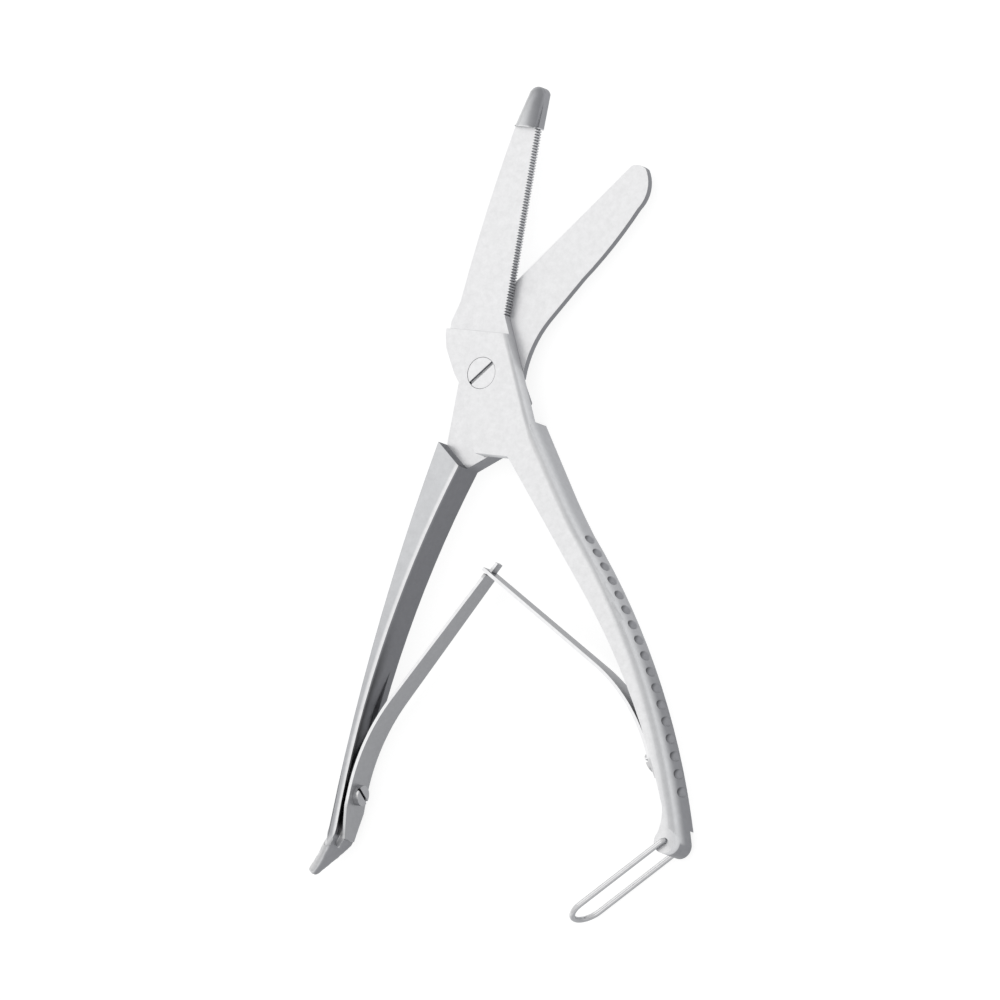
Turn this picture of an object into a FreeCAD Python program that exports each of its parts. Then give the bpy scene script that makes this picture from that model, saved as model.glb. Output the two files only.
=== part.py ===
# Plaster cast shears with a serrated blade, lying flat.
# Frame: Z is the pivot's axis, z = 0 is the plane that the shears rest on,
# +Y runs along the serrated cutting edge towards its tip, +X is on the cutting side.
import FreeCAD, Part
import Sketcher
import math
import os

doc = FreeCAD.newDocument("PlasterShears")

# Driving sizes, in millimetres and degrees: name, value, what it is
sizes = [
    ("shear_plane", 5.7, "height of the plane in which the blades slide on each other"),
    ("lap_gap", 0.06, "running clearance between the two lapped levers"),
    ("fit_gap", 0.03, "radial clearance of a turning fit"),
    ("gape", 41.3, "angle between the two cutting edges as the springs hold them"),
    # serrated blade
    ("edge_offset", 3.2, "serrated edge to the pivot's axis"),
    ("edge_foot", 16.4, "lowest tooth above the pivot's axis"),
    ("tooth_count", 67, "teeth of the serrated edge"),
    ("tooth_pitch", 0.775, "tooth to tooth"),
    ("tooth_depth", 0.55, "depth of a tooth"),
    ("front_blade_thickness", 2.8, "serrated blade"),
    ("heel_drop", 0.3, "plain edge below the lowest tooth"),
    ("spine_tip_x", -3.6, "spine at the probe"),
    ("spine_foot_x", -11.6, "spine at the blade's foot"),
    ("spine_foot_y", 19.0, "height of that place"),
    ("spine_curve", 480.0, "radius of the spine"),
    ("probe_height", 4.6, "thickness of the blunt probe tip"),
    ("probe_length", 11.4, "probe beyond the last tooth"),
    ("probe_end_radius", 2.45, "round end of the probe"),
    ("probe_lean", 1.6, "sideways place of that round end"),
    ("probe_rounding", 1.4, "rounding of the probe's front"),
    # joint boss of the front lever
    ("boss_height", 4.7, "thickness of the boss"),
    ("boss_head_x", 5.6, "upper right corner"),
    ("boss_head_y", 11.3, "upper step"),
    ("boss_left_x", -13.4, "left corner"),
    ("boss_left_y", 9.8, "height of the left corner"),
    ("boss_left_rise", 3.7, "straight side above the left corner"),
    ("boss_left_drop", 3.9, "straight side below the left corner"),
    ("boss_left_lean", 1.0, "how far that side leans in"),
    ("boss_waist_x", -6.5, "narrowest place left of the screw"),
    ("boss_waist_y", -3.3, "height of the narrowest place"),
    ("boss_notch", 2.0, "how far the corner above the waist stands out"),
    ("boss_notch_rise", 2.4, "height of that corner above the waist"),
    ("boss_rounding", 1.2, "rounding of the boss's outer front edge"),
    ("boss_step_rounding", 0.6, "hollow between boss and blade"),
    ("lap_outer_x", 16.7, "outer end of the wall where the handle gets its full depth"),
    ("lap_outer_y", -11.3, "height of that end"),
    ("lap_inner_x", 12.6, "inner end of that wall"),
    ("lap_inner_y", -21.9, "height of that end"),
    ("lap_left_x", 2.2, "lower left corner of the boss"),
    # pivot screw
    ("pivot_shank", 5.0, "diameter of the shank"),
    ("pivot_head", 8.7, "diameter of the head"),
    ("pivot_head_height", 2.0, "height of the head"),
    ("pivot_slot_width", 0.9, "screwdriver slot"),
    ("pivot_slot_depth", 0.9, "depth of the slot"),
    ("pivot_slot_angle", 46.3, "direction of the slot from +X"),
    # front handle
    ("grip_neck_x", 27.0, "outer side: end of its straight run"),
    ("grip_neck_y", -25.8, "height of that place"),
    ("grip_neck_curve", 220.0, "radius of the hollow below it"),
    ("grip_bend_x", 37.7, "outer side: where its swell starts"),
    ("grip_bend_y", -39.8, "height of that place"),
    ("grip_heading", 46.7, "direction of the outer side there, below +X"),
    ("grip_curve", 217.0, "radius of the outer side"),
    ("grip_sweep", 25.2, "angle of that curve down to the eye"),
    ("grip_rounding", 2.2, "rounding of the outer front edge"),
    ("palm_heading", 48.2, "direction of the inner side's straight run, below +X"),
    ("palm_run", 46.2, "length of that run"),
    ("palm_curve", 220.0, "radius of the inner side"),
    ("palm_sweep", 17.7, "angle of that curve"),
    ("dimple_count", 17, "finger dimples"),
    ("dimple_first", 0.6, "angle of the first dimple on the outer side's curve"),
    ("dimple_pitch", 1.2177, "angle from the first dimple to the second"),
    ("dimple_growth", 0.0107, "how much each pitch is larger than the one before"),
    ("dimple_level", 4.2, "height of the dimples' centres"),
    ("dimple_drop", 0.08, "how much lower each dimple lies than the one before"),
    ("dimple_length", 6.2, "dimple across the handle"),
    ("dimple_width", 3.0, "dimple along the handle"),
    ("dimple_depth", 0.8, "depth of a dimple"),
    ("dimple_slant", 18.0, "slant of a dimple"),
    # eye and locking loop
    ("eye_radius", 3.4, "outer radius of the handle's end"),
    ("eye_relief_radius", 4.9, "relief for the loop's back leg"),
    ("wire", 1.6, "diameter of the loop's wire"),
    ("wire_gap", 0.06, "clearance of the wire beside the handle"),
    ("loop_length", 36.0, "eye's axis to the outer end of the loop"),
    ("wire_bend", 0.86, "radius of the wire's bend into the eye"),
    ("loop_pin", 2.4, "length of each bent wire end in the eye"),
    ("loop_heading", 139.3, "direction of the loop, below +X"),
    # rear lever
    ("rear_blade_thickness", 2.0, "plain blade"),
    ("rear_edge_offset", 15.1, "plain cutting edge to the pivot's axis"),
    ("rear_blade_reach", 70.3, "top of the plain blade"),
    ("rear_tip_width", 10.7, "width of the blade under its round tip"),
    ("rear_tip_drop", 8.6, "height lost there"),
    ("rear_tip_flat", 3.8, "where the tip is highest, from the edge"),
    ("rear_corner_drop", 2.7, "height lost at the edge's rounded corner"),
    ("rear_mid_width", 13.9, "width half way down"),
    ("rear_mid_drop", 32.9, "height lost there"),
    ("rear_low_width", 15.5, "width where the heel's curve starts"),
    ("rear_low_drop", 47.9, "height lost there"),
    ("rear_heel_width", 22.5, "width at the heel"),
    ("rear_heel_y", 6.9, "height of the heel"),
    ("rear_back_curve", 125.0, "radius of the back"),
    ("rear_heel_curve", 29.0, "radius of the hollow at the heel"),
    ("rear_tip_curve", 9.0, "radius of the tip"),
    ("rear_corner_curve", 5.0, "radius of the corner at the edge"),
    ("neck_shoulder_x", -12.4, "left corner of the rear neck"),
    ("neck_shoulder_y", 2.5, "height of that corner"),
    ("neck_left_x", -5.1, "left side of the rear neck"),
    ("neck_left_y", -8.8, "height of that place"),
    ("neck_right_x", 18.0, "right corner of the rear neck"),
    ("neck_right_y", -11.2, "height of that corner"),
    ("neck_top_x", 12.0, "upper right corner of the rear neck"),
    ("neck_top_y", 3.2, "height of that corner"),
    ("neck_head_x", -9.5, "upper left corner of the rear neck"),
    ("neck_head_y", 10.0, "height of that corner"),
    ("fist_depth", 10.2, "depth of the rear handle"),
    ("fist_outer_x", 5.5, "upper outer corner"),
    ("fist_inner_x", 15.2, "upper inner corner"),
    ("fist_top_y", -21.4, "height of the upper step"),
    ("fist_outer_end_x", 65.4, "outer side where the hook's bend starts"),
    ("fist_outer_end_y", -110.4, "height of that place"),
    ("fist_outer_curve", 590.0, "radius of the outer side"),
    ("fist_heading", 69.6, "direction of the inner side at its upper end, below +X"),
    ("fist_curve", 290.0, "radius of the inner side"),
    ("fist_sweep", 20.4, "angle of that curve"),
    ("hook_outer_x", 67.5, "outer side of the hook at the end of its bend"),
    ("hook_outer_y", -114.3, "height of that place"),
    ("hook_heading", 84.0, "direction of the hook, below +X"),
    ("hook_length", 10.2, "hook beyond its bend"),
    ("hook_thickness", 2.1, "thickness of the hook"),
    ("hook_bend_curve", 10.0, "radius of the hook's bend"),
    ("hook_back_rise", 3.9, "how far the hook's back comes forward to its end"),
    ("hook_front_y", -115.0, "height where its front starts to fall back"),
    ("hook_front_run", 4.0, "length of the steep part of that slope"),
    ("hook_front_fall", 2.0, "how far the front falls back there"),
    ("hook_end_fall", 3.2, "how far it has fallen back at the end"),
    ("hook_rounding", 1.4, "rounding of the hook's end"),
    ("trough_depth", 1.2, "trough beside the left spring"),
    ("trough_wall", 1.0, "wall left in front of the trough"),
    ("trough_land", 2.6, "wall left behind the trough"),
    ("groove_land", 7.5, "that wall beside the spring's foot, where the trough is a groove"),
    ("trough_start", 11.6, "angle of the trough's start on the inner side's curve"),
    ("trough_run_in", 2.0, "angle over which it deepens"),
    ("trough_narrowing", 15.0, "angle where it starts to narrow"),
    ("groove_start", 17.9, "angle where it is narrowed to the groove"),
    ("left_seat", 1.3, "raised seat under the left spring's foot"),
    ("left_seat_end", 21.5, "angle where that seat runs out"),
    ("trough_end", 20.8, "angle of its end"),
    # leaf springs
    ("spring_thickness", 0.9, "both leaf springs"),
    ("spring_level", 5.9, "height of both springs' middle"),
    ("spring_tip_width", 5.5, "width at the tips"),
    ("spring_foot_width", 9.0, "width where the feet start"),
    ("right_foot_trim", 1.5, "taper of the right foot's end, in front and behind"),
    ("left_foot_trim", 2.4, "taper of the left foot's end in front"),
    ("left_foot_back_trim", 3.2, "its taper behind"),
    ("waist_bow", 2.0, "radius of the hollow above the handle's end, in lengths of that hollow"),
    ("meeting_x", 11.2, "where the springs cross"),
    ("meeting_y", -53.6, "height of that place"),
    ("spring_overlap", 1.7, "right spring beyond the crossing"),
    ("tongue_length", 2.9, "tongue beyond the right spring"),
    ("tongue_width", 2.6, "width of the tongue"),
    ("slot_gap", 0.3, "clearance round the tongue"),
    ("right_bend", 56.0, "radius of the right spring's bend"),
    ("right_foot_start", 13.2, "angle on the handle's curve where its foot starts"),
    ("right_foot_end", 15.3, "angle where its foot ends"),
    ("right_screw_angle", 13.8, "angle of its screw"),
    ("left_bend", 54.0, "radius of the left spring's bend"),
    ("left_foot_start", 18.3, "angle on the handle's curve where its foot starts"),
    ("left_foot_end", 21.0, "angle where its foot ends"),
    ("left_screw_angle", 18.5, "angle of its screw"),
    # spring screws
    ("screw_head", 5.6, "diameter of the head"),
    ("screw_head_height", 1.6, "height of the head"),
    ("screw_shank", 2.5, "diameter of the shank"),
    ("screw_grip", 1.4, "length of the shank in the handle"),
    ("screw_slot_width", 0.8, "screwdriver slot"),
    ("screw_slot_depth", 0.8, "depth of the slot"),
]

sheet = doc.addObject("Spreadsheet::Sheet", "Sizes")


class Size:
    # A size as its number and as its formula over the sheet's cells.
    def __init__(self, number, formula):
        self.number = number
        self.formula = formula

    def __add__(self, other):
        other = as_size(other)
        return Size(self.number + other.number, "(%s + %s)" % (self.formula, other.formula))

    def __sub__(self, other):
        other = as_size(other)
        return Size(self.number - other.number, "(%s - %s)" % (self.formula, other.formula))

    def __mul__(self, other):
        other = as_size(other)
        return Size(self.number * other.number, "(%s * %s)" % (self.formula, other.formula))

    def __truediv__(self, other):
        other = as_size(other)
        return Size(self.number / other.number, "(%s / %s)" % (self.formula, other.formula))

    def __rmul__(self, other):
        return as_size(other) * self

    def __neg__(self):
        return Size(-self.number, "(0 - %s)" % self.formula)


def as_size(value):
    if isinstance(value, Size):
        return value
    return Size(float(value), "(%r)" % float(value))


def sine(angle):
    return Size(math.sin(math.radians(angle.number)), "sin(%s * 1 deg)" % angle.formula)


def cosine(angle):
    return Size(math.cos(math.radians(angle.number)), "cos(%s * 1 deg)" % angle.formula)


def root(size):
    return Size(math.sqrt(size.number), "sqrt(%s)" % size.formula)


nothing = as_size(0)
right_angle = as_size(90)


# A spot is a pair of sizes (x, y), which these turn, move and join.
def turned(spot, angle):
    x, y = as_size(spot[0]), as_size(spot[1])
    return (x * cosine(angle) - y * sine(angle), x * sine(angle) + y * cosine(angle))


def moved(spot, heading, distance):
    return (spot[0] + cosine(heading) * distance, spot[1] + sine(heading) * distance)


def between(start, finish, share):
    return (start[0] + (finish[0] - start[0]) * share, start[1] + (finish[1] - start[1]) * share)


class Cells:
    pass


cell = Cells()
for row, (name, value, note) in enumerate(sizes, 1):
    sheet.set("A%d" % row, name)
    sheet.set("B%d" % row, "%r" % value)
    sheet.set("C%d" % row, note)
    sheet.setAlias("B%d" % row, name)
    setattr(cell, name, Size(value, "Sizes.%s" % name))
doc.recompute()


# A closed outline in a sketch. Each corner is (x, y) or (x, y, radius), where the radius
# belongs to the arc that leaves the corner: positive bulges to the left of the way.
def outline(body, name, plane, corners, lift=0, closed=True):
    return draw(new_sketch(body, name, plane, lift), corners, closed)


def draw(sketch, corners, closed=True):
    spots = [(as_size(c[0]), as_size(c[1])) for c in corners]
    ends = []
    for k, corner in enumerate(corners if closed else corners[:-1]):
        x1, y1 = (s.number for s in spots[k])
        x2, y2 = (s.number for s in spots[(k + 1) % len(spots)])
        start, finish = FreeCAD.Vector(x1, y1, 0), FreeCAD.Vector(x2, y2, 0)
        if len(corner) == 2:
            index = sketch.addGeometry(Part.LineSegment(start, finish), False)
            ends.append((index, 1, 2))
            continue
        radius = as_size(corner[2])
        along = finish - start
        rise = math.sqrt(radius.number ** 2 - (along.Length / 2) ** 2)
        left = FreeCAD.Vector(-along.y, along.x, 0).normalize()
        side = 1 if radius.number > 0 else -1
        centre = (start + finish) * 0.5 - left * (rise * side)
        first, last = (finish, start) if side > 0 else (start, finish)
        ring = Part.Circle(centre, FreeCAD.Vector(0, 0, 1), abs(radius.number))
        arc = Part.ArcOfCircle(ring, angle_of(first - centre), angle_of(last - centre))
        index = sketch.addGeometry(arc, False)
        ends.append((index, 2, 1) if side > 0 else (index, 1, 2))
        held = sketch.addConstraint(Sketcher.Constraint("Radius", index, abs(radius.number)))
        formula = radius.formula if side > 0 else (-radius).formula
        sketch.setExpression("Constraints[%d]" % held, formula)
    for k, (index, start, finish) in enumerate(ends):
        place(sketch, index, start, spots[k])
        if k + 1 < len(ends) or closed:
            following, its_start, _ = ends[(k + 1) % len(ends)]
            joint = Sketcher.Constraint("Coincident", index, finish, following, its_start)
            sketch.addConstraint(joint)
        else:
            place(sketch, index, finish, spots[k + 1])
    return sketch


def angle_of(vector):
    return math.atan2(vector.y, vector.x)


# Ties a point of a sketch to its two coordinates.
def place(sketch, index, point, spot):
    for kind, size in zip(("DistanceX", "DistanceY"), spot):
        held = sketch.addConstraint(Sketcher.Constraint(kind, -1, 1, index, point, size.number))
        sketch.setExpression("Constraints[%d]" % held, size.formula)


def circle(body, name, plane, x, y, radius, lift=0):
    return draw_circle(new_sketch(body, name, plane, lift), x, y, radius)


def draw_circle(sketch, x, y, radius):
    x, y, radius = as_size(x), as_size(y), as_size(radius)
    ring = Part.Circle(FreeCAD.Vector(x.number, y.number, 0), FreeCAD.Vector(0, 0, 1), radius.number)
    index = sketch.addGeometry(ring, False)
    place(sketch, index, 3, (x, y))
    held = sketch.addConstraint(Sketcher.Constraint("Radius", index, radius.number))
    sketch.setExpression("Constraints[%d]" % held, radius.formula)
    return sketch


def new_sketch(body, name, plane, lift):
    sketch = body.newObject("Sketcher::SketchObject", name)
    role = plane + "_Plane"
    support = [f for f in body.Origin.OriginFeatures if f.Role == role][0]
    sketch.AttachmentSupport = [(support, "")]
    sketch.MapMode = "FlatFace"
    sketch.setExpression("AttachmentOffset.Base.z", as_size(lift).formula)
    return sketch


# A sketch that stands upright through a spot, facing a heading: its x axis is level, its
# y axis points up.
def upright_sketch(body, name, spot, heading):
    sketch = new_sketch(body, name, "XZ", -spot[1])
    turn = heading + right_angle
    sketch.AttachmentOffset = FreeCAD.Placement(
        sketch.AttachmentOffset.Base, FreeCAD.Rotation(FreeCAD.Vector(0, 1, 0), turn.number))
    sketch.setExpression("AttachmentOffset.Base.x", spot[0].formula)
    sketch.setExpression("AttachmentOffset.Rotation.Angle", turn.formula)
    return sketch


def new_body(name):
    body = doc.addObject("PartDesign::Body", name)
    body.Label = name
    return body


def pad(body, sketch, length, name):
    feature = body.newObject("PartDesign::Pad", name)
    feature.Profile = sketch
    feature.setExpression("Length", as_size(length).formula)
    return feature


# Cuts from the sketch's plane against its normal, or to both sides of it.
def pocket(body, sketch, length, name, both=False):
    feature = body.newObject("PartDesign::Pocket", name)
    feature.Profile = sketch
    feature.setExpression("Length", as_size(length).formula)
    feature.Midplane = both
    return feature


def edges_where(feature, test):
    return ["Edge%d" % k for k, edge in enumerate(feature.Shape.Edges, 1) if test(edge)]


def middle(edge):
    return edge.valueAt((edge.FirstParameter + edge.LastParameter) / 2)


def fillet(body, base, edges, radius, name):
    feature = body.newObject("PartDesign::Fillet", name)
    feature.Base = (base, edges)
    feature.setExpression("Radius", as_size(radius).formula)
    return feature


front_top = cell.shear_plane + cell.boss_height
back_relief = cell.wire + cell.wire_gap * 2
edge_head = cell.edge_foot + cell.tooth_pitch * cell.tooth_count
probe_end = edge_head + cell.probe_length


# A side of a handle that curves: it starts at a place with a heading below +X and turns
# by the angle given along it, to the right of its way (turn 1) or to the left (turn -1).
class Side:
    def __init__(self, start, heading, radius, turn):
        self.start, self.heading, self.radius, self.turn = start, heading, radius, turn
        self.centre = moved(start, -(heading + right_angle * turn), radius)

    def heading_at(self, angle):
        return -(self.heading + angle * self.turn)

    # A place on the side, or beside it: outwards is away from the centre.
    def at(self, angle, outwards=nothing):
        back = self.heading_at(angle) + right_angle * self.turn
        return moved(self.centre, back, self.radius + outwards)


lap_outer = (cell.lap_outer_x, cell.lap_outer_y)
lap_inner = (cell.lap_inner_x, cell.lap_inner_y)
grip_neck = (cell.grip_neck_x, cell.grip_neck_y)
palm = Side(moved(lap_inner, -cell.palm_heading, cell.palm_run), cell.palm_heading,
            cell.palm_curve, 1)
grip = Side((cell.grip_bend_x, cell.grip_bend_y), cell.grip_heading, cell.grip_curve, 1)
fist = Side((cell.fist_inner_x, cell.fist_top_y + 0.5), cell.fist_heading, cell.fist_curve, -1)
eye = grip.at(cell.grip_sweep, -cell.eye_radius)
meeting = (cell.meeting_x, cell.meeting_y)


def make_front_lever():
    body = new_body("front_lever_blank")
    low = cell.shear_plane
    left_low = (cell.boss_left_x + cell.boss_left_lean, cell.boss_left_y - cell.boss_left_drop)
    left_high = (cell.boss_left_x, cell.boss_left_y)
    blade = outline(body, "BladeOutline", "XY", [
        (cell.edge_offset, edge_head),
        (cell.edge_offset, cell.edge_foot - cell.heel_drop),
        (cell.boss_head_x, cell.boss_head_y),
        (cell.boss_head_x, 0),
        (cell.boss_waist_x, 0),
        left_low,
        left_high,
        (cell.boss_left_x, cell.boss_left_y + cell.boss_left_rise),
        (cell.spine_foot_x, cell.spine_foot_y, cell.spine_curve),
        (cell.spine_tip_x, edge_head),
    ], low)
    pad(body, blade, cell.front_blade_thickness, "Blade")
    ring = cell.probe_end_radius
    probe = outline(body, "ProbeOutline", "XY", [
        (cell.edge_offset + 0.5, edge_head - 0.3),
        (cell.spine_tip_x, edge_head - 0.3),
        (cell.probe_lean - ring * 0.94, probe_end - ring * 1.34, ring),
        (cell.probe_lean + ring * 0.97, probe_end - ring * 0.76),
    ], low)
    last = pad(body, probe, cell.probe_height, "Probe")
    doc.recompute()
    rim = edges_where(last, lambda e: abs(middle(e).z - (low + cell.probe_height).number) < 0.01 and
                      middle(e).y > edge_head.number)
    fillet(body, last, rim, cell.probe_rounding, "ProbeRounding")
    boss = outline(body, "BossOutline", "XY", [
        (cell.boss_head_x, cell.boss_head_y),
        lap_outer,
        lap_inner,
        (cell.lap_left_x, cell.lap_inner_y),
        (cell.boss_waist_x, cell.boss_waist_y),
        (cell.boss_waist_x - cell.boss_notch, cell.boss_waist_y + cell.boss_notch_rise),
        left_low,
        left_high,
        (cell.boss_left_x, cell.boss_head_y),
    ], low)
    pad(body, boss, cell.boss_height, "Boss")
    palm_end = palm.at(cell.palm_sweep)
    eye_side = (eye[0] - cell.eye_radius * 0.8, eye[1] + cell.eye_radius * 0.6)
    waist_x, waist_y = palm_end[0] - eye_side[0], palm_end[1] - eye_side[1]
    waist_curve = root(waist_x * waist_x + waist_y * waist_y) * cell.waist_bow
    handle = outline(body, "HandleOutline", "XY", [
        lap_outer,
        grip_neck + (-cell.grip_neck_curve,),
        grip.start + (cell.grip_curve,),
        grip.at(cell.grip_sweep),
        eye,
        eye_side + (-waist_curve,),
        palm_end + (-cell.palm_curve,),
        palm.start,
        lap_inner,
    ])
    last = pad(body, handle, front_top, "Handle")
    doc.recompute()
    side = [(cell.boss_head_x, cell.boss_head_y), lap_outer, grip_neck, grip.start]
    middles = [between(side[k], side[k + 1], 0.5) for k in range(3)]
    middles.append(grip.at(cell.grip_sweep / 2))
    last = round_front(body, last, middles[1:], cell.grip_rounding, "GripRounding")
    last = round_front(body, last, middles[:1], cell.boss_rounding, "BossRounding")
    foot = edges_where(last, lambda e: abs(middle(e).y - cell.boss_head_y.number) < 0.01 and
                       abs(middle(e).z - (low + cell.front_blade_thickness).number) < 0.01)
    fillet(body, last, foot, cell.boss_step_rounding, "BossHollow")
    rim = circle(body, "EyeOutline", "XY", eye[0], eye[1], cell.eye_radius)
    pad(body, rim, front_top, "Eye")
    bore = circle(body, "BoreOutline", "XY", 0, 0, cell.pivot_shank / 2 + cell.fit_gap, front_top)
    pocket(body, bore, cell.boss_height + 1, "Bore")
    seat = circle(body, "SeatOutline", "XY", 0, 0, cell.pivot_head / 2 + cell.lap_gap, front_top)
    pocket(body, seat, cell.pivot_head_height + cell.lap_gap, "Seat")
    hole = circle(body, "EyeHoleOutline", "XY", eye[0], eye[1], cell.wire / 2 + cell.wire_gap,
                  front_top)
    pocket(body, hole, front_top + 1, "EyeHole")
    relief = circle(body, "ReliefOutline", "XY", eye[0], eye[1], cell.eye_relief_radius, back_relief)
    pocket(body, relief, back_relief + 1, "Relief")
    drill(body, palm, cell.right_screw_angle, -1, cell.screw_grip + 1, "ScrewHole")
    notch = outline(body, "NotchOutline", "XY", [
        (cell.edge_offset + 0.1, cell.edge_foot + cell.tooth_pitch * 0.08),
        (cell.edge_offset - cell.tooth_depth, cell.edge_foot + cell.tooth_pitch * 0.5),
        (cell.edge_offset + 0.1, cell.edge_foot + cell.tooth_pitch * 0.92),
    ], low + cell.front_blade_thickness)
    tooth = pocket(body, notch, cell.front_blade_thickness + 1, "Notch")
    teeth = body.newObject("PartDesign::LinearPattern", "Teeth")
    teeth.Originals = [tooth]
    teeth.Direction = (notch, ["V_Axis"])
    span = cell.tooth_pitch * (cell.tooth_count - 1)
    teeth.setExpression("Length", span.formula)
    teeth.setExpression("Occurrences", cell.tooth_count.formula)
    body.Tip = teeth
    return dimpled(body)


# The finger dimples: slanted ovals in the curved outer side, a little wider apart each
# time. Each is the hollow that a ring leaves when it is pressed into the side.
def dimpled(body):
    dimples = []
    depth = cell.dimple_depth
    across = (cell.dimple_width * cell.dimple_width / 4 + depth * depth) / (depth * 2)
    along = (cell.dimple_length * cell.dimple_length / 4 + depth * depth) / (depth * 2)
    for k in range(int(cell.dimple_count.number)):
        angle = cell.dimple_first + cell.dimple_pitch * k + cell.dimple_growth * (k * (k - 1) / 2)
        x, y = grip.at(angle, along - depth)
        ring = doc.addObject("Part::Torus", "Dimple%d" % (k + 1))
        ring.setExpression("Radius1", (along - across).formula)
        ring.setExpression("Radius2", across.formula)
        turn = FreeCAD.Rotation(FreeCAD.Vector(0, 0, 1), (grip.heading_at(angle) + right_angle).number)
        slant = FreeCAD.Rotation(FreeCAD.Vector(1, 0, 0), cell.dimple_slant.number + right_angle.number)
        level = cell.dimple_level - cell.dimple_drop * k
        spot = FreeCAD.Vector(x.number, y.number, level.number)
        ring.Placement = FreeCAD.Placement(spot, turn * slant)
        dimples.append(ring)
    joined = doc.addObject("Part::MultiFuse", "Dimples")
    joined.Shapes = dimples
    lever = doc.addObject("Part::Cut", "front_lever")
    lever.Base = body
    lever.Tool = joined
    lever.Label = "front_lever"
    return lever


# A hole for a spring screw, square to a handle's side: it starts off the side by the
# distance given (outwards positive) and goes outwards.
def drill(body, side, angle, off, depth, name):
    inwards = side.heading_at(angle) - right_angle * side.turn
    sketch = upright_sketch(body, name + "Outline", side.at(angle, as_size(off)), inwards)
    draw_circle(sketch, 0, cell.spring_level, cell.screw_shank / 2)
    pocket(body, sketch, depth, name)


# Rounds the front edges of the front lever whose middles lie at the spots given.
def round_front(body, base, spots, radius, name):
    marks = [FreeCAD.Vector(x.number, y.number, 0) for x, y in spots]
    near = radius.number / 2
    edges = edges_where(base, lambda e: middle(e).z > front_top.number - 0.2 and
                        any(flat(middle(e)).distanceToPoint(m) < near for m in marks))
    feature = fillet(body, base, edges, radius, name)
    doc.recompute()
    return feature


def flat(point):
    return FreeCAD.Vector(point.x, point.y, 0)


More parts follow.
